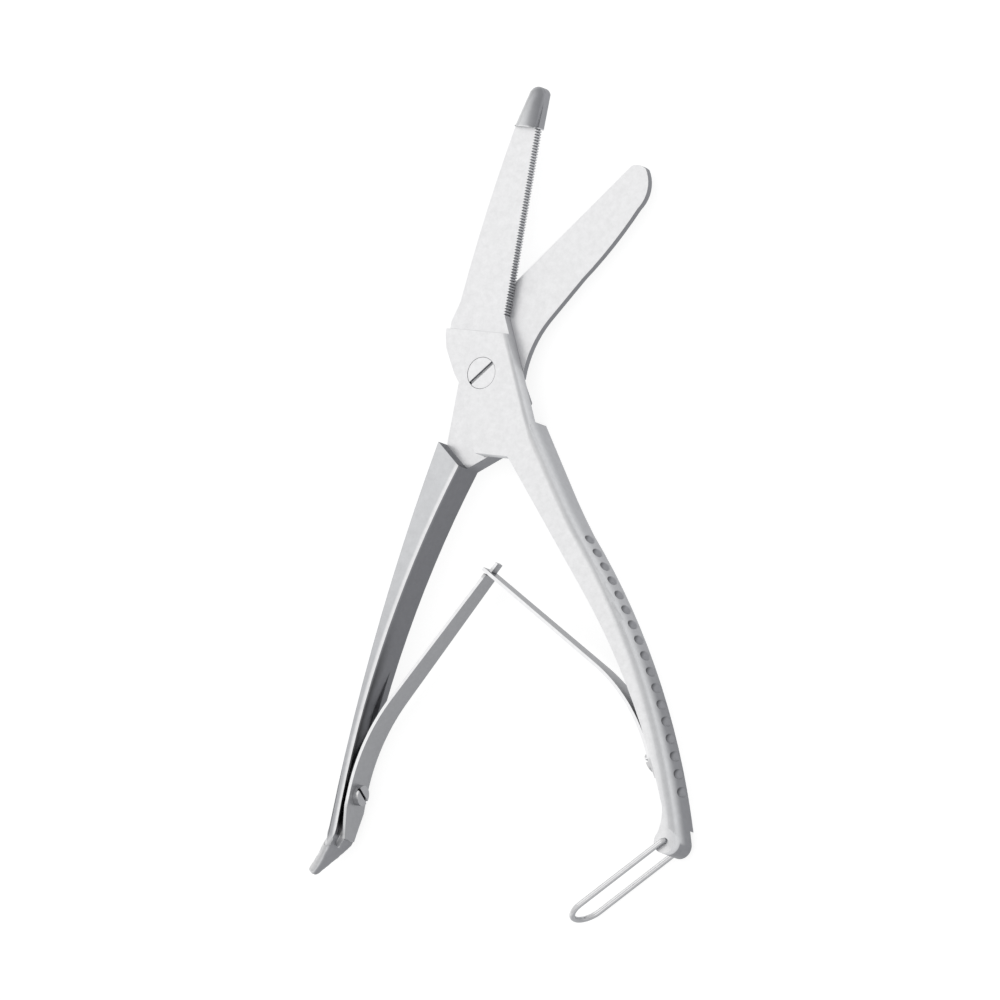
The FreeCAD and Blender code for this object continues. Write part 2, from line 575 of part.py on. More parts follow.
def make_rear_lever():
    body = new_body("rear_lever_blank")
    left = -cell.rear_edge_offset
    reach = cell.rear_blade_reach
    under = cell.shear_plane - cell.lap_gap
    heel = left + cell.rear_heel_width
    blade = outline(body, "BladeOutline", "XY", [
        (left, reach - cell.rear_corner_drop, cell.rear_corner_curve),
        (left + cell.rear_tip_flat, reach, cell.rear_tip_curve),
        (left + cell.rear_tip_width, reach - cell.rear_tip_drop, cell.rear_back_curve),
        (left + cell.rear_mid_width, reach - cell.rear_mid_drop),
        (left + cell.rear_low_width, reach - cell.rear_low_drop, -cell.rear_heel_curve),
        (heel, cell.rear_heel_y),
        (heel, 0),
        (cell.neck_left_x, 0),
        (left, cell.neck_head_y),
    ], under - cell.rear_blade_thickness)
    pad(body, blade, cell.rear_blade_thickness, "Blade")
    neck = outline(body, "NeckOutline", "XY", [
        (cell.neck_head_x, cell.neck_head_y),
        (cell.neck_top_x, cell.neck_top_y),
        (cell.neck_right_x, cell.neck_right_y),
        fist.start,
        (cell.fist_outer_x, cell.fist_top_y),
        (cell.neck_left_x, cell.neck_left_y),
        (cell.neck_shoulder_x, cell.neck_shoulder_y),
    ])
    pad(body, neck, under, "Neck")
    hook_way = -cell.hook_heading
    hook_outer = (cell.hook_outer_x, cell.hook_outer_y)
    hook_inner = moved(hook_outer, hook_way + right_angle, cell.hook_thickness)
    hook_end = moved(hook_outer, hook_way, cell.hook_length)
    handle = outline(body, "HandleOutline", "XY", [
        fist.start + (-cell.fist_curve,),
        fist.at(cell.fist_sweep) + (cell.hook_bend_curve,),
        hook_inner,
        moved(hook_inner, hook_way, cell.hook_length),
        hook_end,
        hook_outer + (-cell.hook_bend_curve,),
        (cell.fist_outer_end_x, cell.fist_outer_end_y, cell.fist_outer_curve),
        (cell.fist_outer_x, cell.fist_top_y),
    ])
    pad(body, handle, cell.fist_depth, "Handle")
    seat_low = cell.spring_level - cell.spring_foot_width / 2 + cell.left_foot_back_trim
    seat_from, seat_to = cell.groove_start, cell.left_foot_end
    seat = outline(body, "SeatOutline", "XY", [
        fist.at(seat_from),
        fist.at(seat_from, -cell.left_seat) + (-(cell.fist_curve - cell.left_seat),),
        fist.at(seat_to, -cell.left_seat),
        fist.at(cell.left_seat_end),
        fist.at(cell.left_seat_end, as_size(1)),
        fist.at(seat_from, as_size(1)),
    ], seat_low)
    pad(body, seat, cell.groove_land - seat_low, "Seat")
    end_y = hook_end[1]
    back = outline(body, "HookBackOutline", "YZ", [
        (cell.hook_outer_y, 0),
        (end_y, cell.hook_back_rise),
        (end_y - cell.hook_length, cell.hook_back_rise),
        (end_y - cell.hook_length, -1),
        (cell.hook_outer_y, -1),
    ])
    pocket(body, back, cell.palm_run * 5, "HookBack", both=True)
    depth = cell.fist_depth
    front = outline(body, "HookFrontOutline", "YZ", [
        (cell.hook_front_y, depth),
        (cell.hook_front_y - cell.hook_front_run, depth - cell.hook_front_fall),
        (end_y, depth - cell.hook_end_fall),
        (end_y - cell.hook_length, depth - cell.hook_end_fall),
        (end_y - cell.hook_length, depth + 1),
        (cell.hook_front_y, depth + 1),
    ])
    whole = pocket(body, front, cell.palm_run * 5, "HookFront", both=True)
    doc.recompute()
    end_middle = moved(hook_end, hook_way + right_angle, cell.hook_thickness / 2)
    mark = FreeCAD.Vector(end_middle[0].number, end_middle[1].number, 0)
    tips = edges_where(whole, lambda e: flat(middle(e)).distanceToPoint(mark) < 0.5 and
                       abs(e.Vertexes[0].Z - e.Vertexes[-1].Z) < 0.3)
    fillet(body, whole, tips, cell.hook_rounding, "HookRounding")
    bore = circle(body, "BoreOutline", "XY", 0, 0, cell.pivot_shank / 2, under + 1)
    pocket(body, bore, under + 2, "Bore")
    drill(body, fist, cell.left_screw_angle, -(cell.left_seat + 1), cell.screw_grip + 1,
          "ScrewHole")
    lever = doc.addObject("Part::Cut", "rear_lever")
    lever.Base = body
    lever.Tool = make_trough()
    lever.Label = "rear_lever"
    lean(lever)
    return lever


# The space of the trough in the rear lever's inner side, along which the left spring lies.
def make_trough():
    space = new_body("TroughSpace")
    first, last = cell.trough_start, cell.trough_end
    above = as_size(-1)
    plan = outline(space, "TroughOutline", "XY", [
        fist.at(first, above) + (-(cell.fist_curve + above),),
        fist.at(last, above),
        fist.at(last, cell.trough_depth) + (cell.fist_curve + cell.trough_depth,),
        fist.at(first + cell.trough_run_in, cell.trough_depth),
        fist.at(first),
    ], cell.trough_land)
    pad(space, plan, cell.fist_depth - cell.trough_wall - cell.trough_land, "Trough")
    start_y = fist.at(cell.trough_narrowing)[1]
    groove_y = fist.at(cell.groove_start)[1]
    end_y = fist.at(last)[1]
    back = outline(space, "BackWallOutline", "YZ", [
        (start_y, cell.trough_land),
        (groove_y, cell.groove_land),
        (end_y - cell.fist_depth, cell.groove_land),
        (end_y - cell.fist_depth, cell.trough_land - 1),
        (start_y, cell.trough_land - 1),
    ])
    pocket(space, back, cell.palm_run * 5, "BackWall", both=True)
    return space


# Turns a body that belongs to the rear lever to where the springs hold it.
def lean(body):
    turn = FreeCAD.Rotation(FreeCAD.Vector(0, 0, -1), cell.gape.number)
    body.Placement = FreeCAD.Placement(FreeCAD.Vector(), turn)
    body.setExpression("Placement.Rotation.Angle", cell.gape.formula)


# The middle line of a leaf spring: its foot follows the side of a handle, its bend leaves
# the foot smoothly, and its straight run ends where the two springs cross.
class Leaf:
    def __init__(self, side, off, foot_start, foot_end, bend, crossing):
        self.side, self.off, self.foot_start, self.foot_end = side, off, foot_start, foot_end
        self.bend, self.crossing = bend, crossing
        foot = side.at(foot_start, off)
        self.centre = between(foot, side.centre, bend / (side.radius + off))
        dx = crossing[0] - self.centre[0]
        dy = crossing[1] - self.centre[1]
        square = dx * dx + dy * dy
        run = root(square - bend * bend)
        along = bend * bend / square
        across = bend * run / square * side.turn
        self.rim = (dx * along + dy * across, dy * along - dx * across)
        self.way = ((dx - self.rim[0]) / run, (dy - self.rim[1]) / run)

    # A place of the straight run: beyond the crossing, and off the middle line outwards.
    def run(self, beyond, outwards):
        return (self.crossing[0] + self.way[0] * beyond + self.rim[0] / self.bend * outwards,
                self.crossing[1] + self.way[1] * beyond + self.rim[1] / self.bend * outwards)

    def bend_end(self, outwards):
        share = (self.bend + outwards) / self.bend
        return (self.centre[0] + self.rim[0] * share, self.centre[1] + self.rim[1] * share)

    def outline(self, beyond):
        half = cell.spring_thickness / 2
        off, turn = self.off, self.side.turn
        foot = self.side.radius + off
        return [
            self.side.at(self.foot_end, off + half) + ((foot + half) * -turn,),
            self.side.at(self.foot_start, off + half) + ((self.bend + half) * -turn,),
            self.bend_end(half),
            self.run(beyond, half),
            self.run(beyond, -half),
            self.bend_end(-half) + ((self.bend - half) * turn,),
            self.side.at(self.foot_start, off - half) + ((foot - half) * turn,),
            self.side.at(self.foot_end, off - half),
        ]


half_leaf = cell.spring_thickness / 2
right_leaf = Leaf(palm, -half_leaf, cell.right_foot_start, cell.right_foot_end,
                  cell.right_bend, meeting)
left_leaf = Leaf(fist, -(half_leaf + cell.left_seat), cell.left_foot_start, cell.left_foot_end,
                 cell.left_bend, turned(meeting, cell.gape))


# A leaf spring that widens from its tip to its foot, with its screw hole.
def make_leaf(name, leaf, beyond, screw_angle, trims):
    body = new_body(name)
    low = cell.spring_level - cell.spring_foot_width / 2
    plan = outline(body, "LeafOutline", "XY", leaf.outline(beyond), low)
    pad(body, plan, cell.spring_foot_width, "Leaf")
    tip_y = leaf.crossing[1]
    foot_y = leaf.side.at(leaf.foot_start)[1]
    end_y = leaf.side.at(leaf.foot_end)[1]
    for name, way, trim in (("Upper", 1, trims[0]), ("Lower", -1, trims[1])):
        narrow = cell.spring_level + cell.spring_tip_width / 2 * way
        wide = cell.spring_level + cell.spring_foot_width / 2 * way
        end = wide - trim * way
        taper = outline(body, name + "TaperOutline", "YZ", [
            (tip_y + cell.spring_foot_width, narrow),
            (tip_y, narrow),
            (foot_y - cell.screw_head * 0.5, wide),
            (end_y - 1, end),
            (end_y - 1, wide + way),
            (tip_y + cell.spring_foot_width, wide + way),
        ])
        pocket(body, taper, cell.palm_run * 5, name + "Taper", both=True)
    drill(body, leaf.side, screw_angle, leaf.off - cell.screw_head, cell.screw_head * 2, "ScrewHole")
    return body


def make_right_spring():
    body = make_leaf("right_spring", right_leaf, cell.spring_overlap, cell.right_screw_angle,
                     (cell.right_foot_trim, cell.right_foot_trim))
    reach = half_leaf + cell.slot_gap
    tall = cell.tongue_width + cell.slot_gap * 2
    slot = outline(body, "SlotOutline", "XY", [
        right_leaf.run(reach, as_size(1)),
        right_leaf.run(-reach, as_size(1)),
        right_leaf.run(-reach, as_size(-1)),
        right_leaf.run(reach, as_size(-1)),
    ], cell.spring_level + tall / 2)
    pocket(body, slot, tall, "Slot")
    return body


def make_left_spring():
    shoulder = -(half_leaf + cell.slot_gap)
    body = make_leaf("left_spring", left_leaf, shoulder, cell.left_screw_angle,
                     (cell.left_foot_trim, cell.left_foot_back_trim))
    end = half_leaf + cell.tongue_length
    tongue = outline(body, "TongueOutline", "XY", [
        left_leaf.run(shoulder - 1, half_leaf),
        left_leaf.run(end, half_leaf),
        left_leaf.run(end, -half_leaf),
        left_leaf.run(shoulder - 1, -half_leaf),
    ], cell.spring_level - cell.tongue_width / 2)
    pad(body, tongue, cell.tongue_width, "Tongue")
    lean(body)
    return body


# A slotted screw whose head lies on a spring's foot and whose shank goes into the handle.
def make_spring_screw(name, leaf, angle):
    body = new_body(name)
    inwards = leaf.side.heading_at(angle) - right_angle * leaf.side.turn
    face = leaf.off - half_leaf - cell.fit_gap
    level = cell.spring_level
    grip_end = leaf.side.at(angle, leaf.off + half_leaf + cell.screw_grip)
    shank = upright_sketch(body, "ShankOutline", grip_end, inwards)
    draw_circle(shank, 0, level, cell.screw_shank / 2)
    pad(body, shank, cell.screw_grip + cell.spring_thickness + cell.fit_gap, "Shank")
    head = upright_sketch(body, "HeadOutline", leaf.side.at(angle, face), inwards)
    draw_circle(head, 0, level, cell.screw_head / 2)
    pad(body, head, cell.screw_head_height, "Head")
    top = leaf.side.at(angle, face - cell.screw_head_height)
    slot = upright_sketch(body, "SlotOutline", top, inwards)
    half = cell.screw_slot_width / 2
    far = cell.screw_head / 2 + 1
    draw(slot, [(half, level + far), (-half, level + far), (-half, level - far),
                (half, level - far)])
    pocket(body, slot, cell.screw_slot_depth, "Slot")
    return body


def make_pivot_screw():
    body = new_body("pivot_screw")
    seat = front_top - cell.pivot_head_height
    shank = circle(body, "ShankOutline", "XY", 0, 0, cell.pivot_shank / 2, cell.lap_gap)
    pad(body, shank, seat - cell.lap_gap, "Shank")
    head = circle(body, "HeadOutline", "XY", 0, 0, cell.pivot_head / 2, seat)
    pad(body, head, cell.pivot_head_height, "Head")
    half = cell.pivot_slot_width / 2
    far = cell.pivot_head / 2 + 1
    corners = [(far, half), (-far, half), (-far, -half), (far, -half)]
    slot = outline(body, "SlotOutline", "XY",
                   [turned(corner, cell.pivot_slot_angle) for corner in corners], front_top)
    pocket(body, slot, cell.pivot_slot_depth, "Slot")
    return body


# The locking loop: one wire whose bent ends sit in the eye. Its own frame has the eye's
# axis at its origin and the loop along +X.
def make_lock_loop():
    body = new_body("lock_loop")
    low = cell.wire / 2 + cell.wire_gap
    high = front_top + cell.wire / 2 + cell.wire_gap
    bend = cell.wire_bend
    end = (high - low) / 2
    reach = cell.loop_length - cell.wire / 2
    line = outline(body, "WireLine", "XZ", [
        (0, high - cell.loop_pin),
        (0, high - bend, bend),
        (bend, high),
        (reach - end, high, end),
        (reach, high - end, end),
        (reach - end, low),
        (bend, low, bend),
        (0, low + bend),
        (0, low + cell.loop_pin),
    ], closed=False)
    section = circle(body, "WireSection", "XY", 0, 0, cell.wire / 2, high - cell.loop_pin)
    wire = body.newObject("PartDesign::AdditivePipe", "Wire")
    wire.Profile = section
    wire.Spine = line
    turn = FreeCAD.Rotation(FreeCAD.Vector(0, 0, -1), cell.loop_heading.number)
    spot = FreeCAD.Vector(eye[0].number, eye[1].number, 0)
    body.Placement = FreeCAD.Placement(spot, turn)
    body.setExpression("Placement.Base.x", eye[0].formula)
    body.setExpression("Placement.Base.y", eye[1].formula)
    body.setExpression("Placement.Rotation.Angle", cell.loop_heading.formula)
    return body


parts = [
    make_front_lever(),
    make_rear_lever(),
    make_pivot_screw(),
    make_left_spring(),
    make_spring_screw("left_spring_screw", left_leaf, cell.left_screw_angle),
    make_right_spring(),
    make_spring_screw("right_spring_screw", right_leaf, cell.right_screw_angle),
    make_lock_loop(),
]
lean(parts[4])
doc.recompute()

failed = [item for item in doc.Objects if "Invalid" in item.State or "Error" in item.State]
if failed:
    raise RuntimeError("did not build: %s" % ", ".join(item.Name for item in failed))
for item in parts:
    if item.Shape.isNull() or not item.Shape.isValid():
        raise RuntimeError("%s has no valid solid" % item.Label)

os.makedirs("parts", exist_ok=True)
for item in parts:
    item.Shape.exportStep("parts/%s.step" % item.Label)
    print("%-20s %8.1f mm3, %d solid" % (item.Label, item.Shape.Volume, len(item.Shape.Solids)))
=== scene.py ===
# Plaster cast shears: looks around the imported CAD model.
import math
import bmesh
import bpy
from mathutils import Matrix, Vector


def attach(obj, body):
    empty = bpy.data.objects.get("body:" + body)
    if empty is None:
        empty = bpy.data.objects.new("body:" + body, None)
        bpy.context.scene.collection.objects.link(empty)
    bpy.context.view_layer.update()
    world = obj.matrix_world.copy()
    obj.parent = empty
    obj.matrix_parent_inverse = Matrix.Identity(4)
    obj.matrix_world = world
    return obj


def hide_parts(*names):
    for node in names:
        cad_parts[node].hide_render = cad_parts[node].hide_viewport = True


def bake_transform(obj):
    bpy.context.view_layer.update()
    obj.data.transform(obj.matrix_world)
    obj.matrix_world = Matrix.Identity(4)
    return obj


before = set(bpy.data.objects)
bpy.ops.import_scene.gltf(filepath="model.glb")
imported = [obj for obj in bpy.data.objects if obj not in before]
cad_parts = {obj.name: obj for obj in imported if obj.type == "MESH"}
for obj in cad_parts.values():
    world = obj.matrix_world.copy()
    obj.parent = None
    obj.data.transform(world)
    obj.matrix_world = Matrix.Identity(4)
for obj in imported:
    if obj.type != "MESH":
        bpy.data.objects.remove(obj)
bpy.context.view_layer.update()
mm = 0.001

# Camera


# A level vector, its direction in degrees from +X.
def headingVector(degrees, length=1.0):
    angle = math.radians(degrees)
    return Vector((math.cos(angle) * length, math.sin(angle) * length, 0))


# The photograph was taken with a long lens from the serrated blade's cutting side.
camera = {
    "heading": -12.3,        # degrees from +X, where the camera stands
    "tilt": 33.0,            # degrees away from straight above
    "roll": 20.0,            # degrees, turns the picture
    "pictureWidth": 0.27,    # metres across the picture
    "middle": (0.0127, -0.034, 0.0104),     # the point in the picture's middle
    "distance": 0.9,
}


def makeCamera():
    away = headingVector(camera["heading"])
    tilt, roll = math.radians(camera["tilt"]), math.radians(camera["roll"])
    back = away * math.sin(tilt) + Vector((0, 0, math.cos(tilt)))
    down = away * math.cos(tilt) - Vector((0, 0, math.sin(tilt)))
    side = back.cross(down)
    right = down * math.cos(roll) + side * math.sin(roll)
    up = back.cross(right)
    data = bpy.data.cameras.new("camera")
    data.type = "ORTHO"
    data.ortho_scale = camera["pictureWidth"]
    data.clip_end = 10
    eye = bpy.data.objects.new("camera", data)
    bpy.context.scene.collection.objects.link(eye)
    turn = Matrix((right, up, back)).transposed().to_4x4()
    place = Vector(camera["middle"]) + back * camera["distance"]
    eye.matrix_world = Matrix.Translation(place) @ turn
    bpy.context.scene.camera = eye
    print("camera made")


makeCamera()

# Materials


def colour(hexCode):
    channels = [int(hexCode[k:k + 2], 16) / 255 for k in (1, 3, 5)]
    linear = [c / 12.92 if c <= 0.04045 else ((c + 0.055) / 1.055) ** 2.4 for c in channels]
    return (*linear, 1.0)


# Adds a node; settings are its properties, inputs its sockets: a value, or a link.
def addNode(tree, kind, settings=None, **inputs):
    node = tree.nodes.new(kind)
    for name, value in (settings or {}).items():
        setattr(node, name, value)
    for name, value in inputs.items():
        numbered = name[0] == "i" and name[1:].isdigit()
        socket = node.inputs[int(name[1:]) if numbered else name.replace("_", " ")]
        if isinstance(value, bpy.types.NodeSocket):
            tree.links.new(value, socket)
        else:
            socket.default_value = value
    return node


def newMaterial(name):
    material = bpy.data.materials.new(name)
    material.use_nodes = True
    tree = material.node_tree
    tree.nodes.clear()
    return material, tree


# Turns one span of values into another; a smooth map eases in and out.
def mapRange(tree, value, span, target, smooth=False):
    kind = "SMOOTHSTEP" if smooth else "LINEAR"
    node = addNode(tree, "ShaderNodeMapRange", {"interpolation_type": kind}, Value=value)
    node.inputs["From Min"].default_value = span[0]
    node.inputs["From Max"].default_value = span[1]
    node.inputs["To Min"].default_value = target[0]
    node.inputs["To Max"].default_value = target[1]
    return node.outputs["Result"]


# 0 at or before low, 1 at or past high, smooth between; low above high turns it round.
def ramp(tree, value, low, high):
    if low > high:
        return mapRange(tree, value, (high, low), (1, 0), smooth=True)
    return mapRange(tree, value, (low, high), (0, 1), smooth=True)


def mathNode(tree, operation, *values):
    inputs = {f"i{k}": value for k, value in enumerate(values)}
    return addNode(tree, "ShaderNodeMath", {"operation": operation}, **inputs).outputs[0]


def vectorNode(tree, operation, *values):
    inputs = {f"i{k}": value for k, value in enumerate(values)}
    return addNode(tree, "ShaderNodeVectorMath", {"operation": operation}, **inputs).outputs


def times(tree, first, second):
    return mathNode(tree, "MULTIPLY", first, second)


def mixValue(tree, share, first, second):
    return addNode(tree, "ShaderNodeMix", {"data_type": "FLOAT"}, Factor=share, A=first, B=second).outputs[0]


def mixColour(tree, share, first, second):
    node = addNode(tree, "ShaderNodeMix", {"data_type": "RGBA"}, i0=share)
    for socket, value in ((node.inputs[6], first), (node.inputs[7], second)):
        if isinstance(value, str):
            socket.default_value = colour(value)
        else:
            tree.links.new(value, socket)
    return node.outputs[2]


# Distance from an upright axis: the handles' sides are arcs, so it tells how far in a place lies.
def radius(tree, place, centre):
    off = vectorNode(tree, "SUBTRACT", place, (centre[0] * mm, centre[1] * mm, 0))[0]
    level = vectorNode(tree, "MULTIPLY", off, (1, 1, 0))[0]
    return vectorNode(tree, "LENGTH", level)["Value"]


# How far inside the line through two points a place lies, in metres; left of the line is inside.
def inside(tree, place, start, end):
    along = (Vector(end) - Vector(start)).normalized()
    off = vectorNode(tree, "SUBTRACT", place, (start[0] * mm, start[1] * mm, 0))[0]
    return vectorNode(tree, "DOT_PRODUCT", off, (-along.y, along.x, 0))["Value"]


# The steel's finish: noise scales are per metre, so that the spots have a real size.
finish = {
    "facingUp": (0.2, 0.97),     # the upward part of the normal where a face counts as ground
    "cloudScale": 640.0,         # cloudiness of a hand-polished surface, spots about 1.5 mm wide
    "cloudSpan": (0.3, 0.7),
    "cloudStrength": (0.94, 1.03),
    "grainScale": 3300.0,        # grain of the satin finish, about 0.3 mm
    "grainStrength": 0.12,
    "grainHeight": 0.0001,
}


# Forged stainless steel. The function tone gives the colour at a place; flatness is 1 on the
# faces that look up, which are ground and painted lit, and 0 on the satin sides, painted shade.
def satinSteel(name, tone, flatRough, sideRough):
    material, tree = newMaterial(name)
    place = addNode(tree, "ShaderNodeTexCoord").outputs["Object"]
    shape = addNode(tree, "ShaderNodeNewGeometry")
    split = addNode(tree, "ShaderNodeSeparateXYZ", Vector=shape.outputs["Normal"])
    upward = split.outputs["Z"]
    flatness = ramp(tree, upward, *finish["facingUp"])
    cloud = addNode(tree, "ShaderNodeTexNoise", Vector=place, Scale=finish["cloudScale"],
                    Detail=4.0, Roughness=0.65)
    grain = addNode(tree, "ShaderNodeTexNoise", Vector=place, Scale=finish["grainScale"],
                    Detail=2.0, Roughness=0.5)
    strength = mapRange(tree, cloud.outputs["Fac"], finish["cloudSpan"], finish["cloudStrength"])
    tinted = addNode(tree, "ShaderNodeVectorMath", {"operation": "SCALE"},
                     i0=tone(tree, place, flatness, upward), Scale=strength)
    rough = mixValue(tree, flatness, sideRough, flatRough)
    bump = addNode(tree, "ShaderNodeBump", Height=grain.outputs["Fac"], Strength=finish["grainStrength"],
                   Distance=finish["grainHeight"])
    shader = addNode(tree, "ShaderNodeBsdfPrincipled", Base_Color=tinted.outputs["Vector"],
                     Roughness=rough, Metallic=1.0, Normal=bump.outputs["Normal"])
    output = addNode(tree, "ShaderNodeOutputMaterial")
    tree.links.new(shader.outputs["BSDF"], output.inputs["Surface"])
    return material


steel = {
    "flat": "#F2F2F3",         # faces that look up: ground, and painted lit bright
    "side": "#8E8F93",         # sides: satin, with painted shade
    "sideHigh": "#B4B5B8",     # the painted shade, lighter on the upper half of the dimpled handle
    "sideFront": "#DADBDD",    # painted highlight where the side rounds into the front
    "knobLit": "#E4E5E6",    # blunt tip, painted lit on the spine's side
    "knobShaded": "#9A9B9F",     # blunt tip, painted shade on the serrated side
    "dimple": "#47484C",       # finger dimple, painted shade on the part that looks down
    "dimpleLight": "#98999D",  # painted light on the part that looks up
    "hookHandle": "#D6D7D9",   # front of the handle with the hook
    "hookHandleLow": "#BEBFC2",     # the same at its lower end
    "hook": "#C6C7C9",         # the hook, and a painted highlight along its outer edge
    "hookEdgeHighlight": "#F4F4F5",
    "hookInnerShade": "#7B7C80",    # painted shade on its inner side
    "troughPaintedShadow": "#1E1E20",   # painted shadow in its trough, under the front wall
    # the springs: ground flats, and painted shade on their sides
    "springFlat": "#F0F0F1",
    "springSide": "#97989B",
    "slot": "#3A3B3E",         # painted shade in the screws' slots
    # polished steel: its flats, and painted shade on its sides
    "bright": "#EDEDEE",
    "brightSide": "#A0A1A4",
}

# Places of the handles' arcs and of straight sides, in millimetres.
layout = {
    "gripCentre": (-120.227, -188.623),
    "gripRadius": 217.0,
    "bossSide": ((16.7, -11.3), (5.6, 11.3)),
    "neckSide": ((37.7, -39.8), (16.7, -11.3)),
    "hookCentre": (268.544, -129.187),
    "hookRadius": 290.0,
    "hookSide": ((-24.73, -130.42), (-30.61, -138.75)),
}

# Where tones change, in millimetres: a tone starts at the first number and is full at the second.
fade = {
    # the front lever; along y unless another direction is named
    "neckToBoss": (-15.0, -7.0),
    "gripToNeck": (-43.8, -35.8),
    "shadeBand": (11.6, 11.0),             # the painted shade band of the rounded outer side
    "litAbove": (6.9, 8.0),             # along z; faces that look up below this take the sides' painted shade
    "sideHigh": (-86.0, -58.0),
    "sideFront": (4.2, 9.8),          # along z; the painted highlight where the side rounds into the front
    # where the dimples' painted shade lies
    "dimpleHeight": (8.1, 7.6),       # along z
    "dimpleRow": (-38.0, -39.0),
    "dimpleDepth": (0.03, 0.3),       # below the grip's arc
    "knobAcross": (-2.2, 3.4),        # along x; from the painted lit side of the blunt tip to its painted shade
    "knob": (68.2, 68.4),
    # the rear lever
    "handleFront": (6.4, 6.8),        # along z
    "handleGrey": (0.5, 1.5),         # past the inner side's arc; nearer to it a painted highlight stays
    "handleLow": (-40.0, -115.0),
    "hookEdgeHighlight": (2.4, 0.5),           # the painted highlight, from the hook's outer side
    "hook": (-128.5, -131.5),
    "handleTop": (-24.0, -26.0),
    # where the inner side's painted shade lies
    "innerHeight": (9.9, 9.2),        # along z
    "innerDepth": (1.6, 1.3),         # past the inner side's arc
    "innerEnd": (-127.0, -124.0),
    # where the trough's painted shadow lies
    "troughHeight": (5.0, 9.2),       # along z
    "troughStart": (-66.0, -100.0),
    "troughEnd": (-127.5, -125.0),
}

# The same for values without a unit.
share = {
    "shadeBand": (1.0, 0.1),               # in widths of the painted shade band
    "dimple": (-0.4, 0.15),           # upward part of the normal; the dimple is painted dark where it looks down
    "hook": (0.0, 0.35),
}

# Widths of the painted shade band at two places along the front lever, in millimetres.
shadeBand = {"places": (-110.0, 10.0), "widths": (3.6, 0.9), "strength": 0.93}


def fadeAt(tree, value, name):
    low, high = fade[name]
    return ramp(tree, value, low * mm, high * mm)


# Faces that look up get the first colour, sides the second as painted shade.
def plainTone(flatHex, sideHex):
    return lambda tree, place, flatness, upward: mixColour(tree, flatness, sideHex, flatHex)


# Depth in metres below the grip's outer side.
def gripDepth(tree, place):
    return mathNode(tree, "SUBTRACT", layout["gripRadius"] * mm, radius(tree, place, layout["gripCentre"]))


# Depth in metres below the outer side: an arc along the grip, straight at the neck and boss.
def outerDepth(tree, place, y):
    neck = inside(tree, place, *layout["neckSide"])
    boss = inside(tree, place, *layout["bossSide"])
    lower = mixValue(tree, fadeAt(tree, y, "gripToNeck"), gripDepth(tree, place), neck)
    return mixValue(tree, fadeAt(tree, y, "neckToBoss"), lower, boss)


# How far in from the front lever's outer side a place lies, in widths of its band of painted shade.
# The band is narrow at the boss and wide at the handle's end.
def shadeBandShare(tree, place, y):
    places, widths = ([value * mm for value in shadeBand[name]] for name in ("places", "widths"))
    return mathNode(tree, "DIVIDE", outerDepth(tree, place, y), mapRange(tree, y, places, widths))


# The front lever: white flats with painted shade towards the rounded outer side and on the sides,
# painted shade in the dimples, a painted highlight where the sides round into the front, and a
# blunt tip painted lit on one side and shaded on the other.
def frontTone(tree, place, flatness, upward):
    axis = addNode(tree, "ShaderNodeSeparateXYZ", Vector=place)
    x, y, z = axis.outputs
    # painted shade across the rounded outer side
    outerShade = times(tree, ramp(tree, shadeBandShare(tree, place, y), *share["shadeBand"]), fadeAt(tree, y, "shadeBand"))
    front = mathNode(tree, "MULTIPLY_ADD", outerShade, -shadeBand["strength"], 1.0)
    # low flats take the sides' painted shade
    flat = times(tree, times(tree, flatness, front), fadeAt(tree, z, "litAbove"))
    # the sides' painted shade, lighter high up, with a painted highlight where they round into the front
    side = mixColour(tree, fadeAt(tree, y, "sideHigh"), steel["side"], steel["sideHigh"])
    side = mixColour(tree, fadeAt(tree, z, "sideFront"), side, steel["sideFront"])
    base = mixColour(tree, flat, side, steel["flat"])
    # painted shade in the dimples, darkest where they look down
    row = times(tree, fadeAt(tree, z, "dimpleHeight"), fadeAt(tree, y, "dimpleRow"))
    dimpleShading = times(tree, fadeAt(tree, gripDepth(tree, place), "dimpleDepth"), row)
    dimple = mixColour(tree, ramp(tree, upward, *share["dimple"]), steel["dimple"], steel["dimpleLight"])
    dimpled = mixColour(tree, dimpleShading, base, dimple)
    # the blunt tip, painted lit on the spine's side and shaded on the serrated side
    knobTone = mixColour(tree, fadeAt(tree, x, "knobAcross"), steel["knobLit"], steel["knobShaded"])
    return mixColour(tree, fadeAt(tree, y, "knob"), dimpled, knobTone)


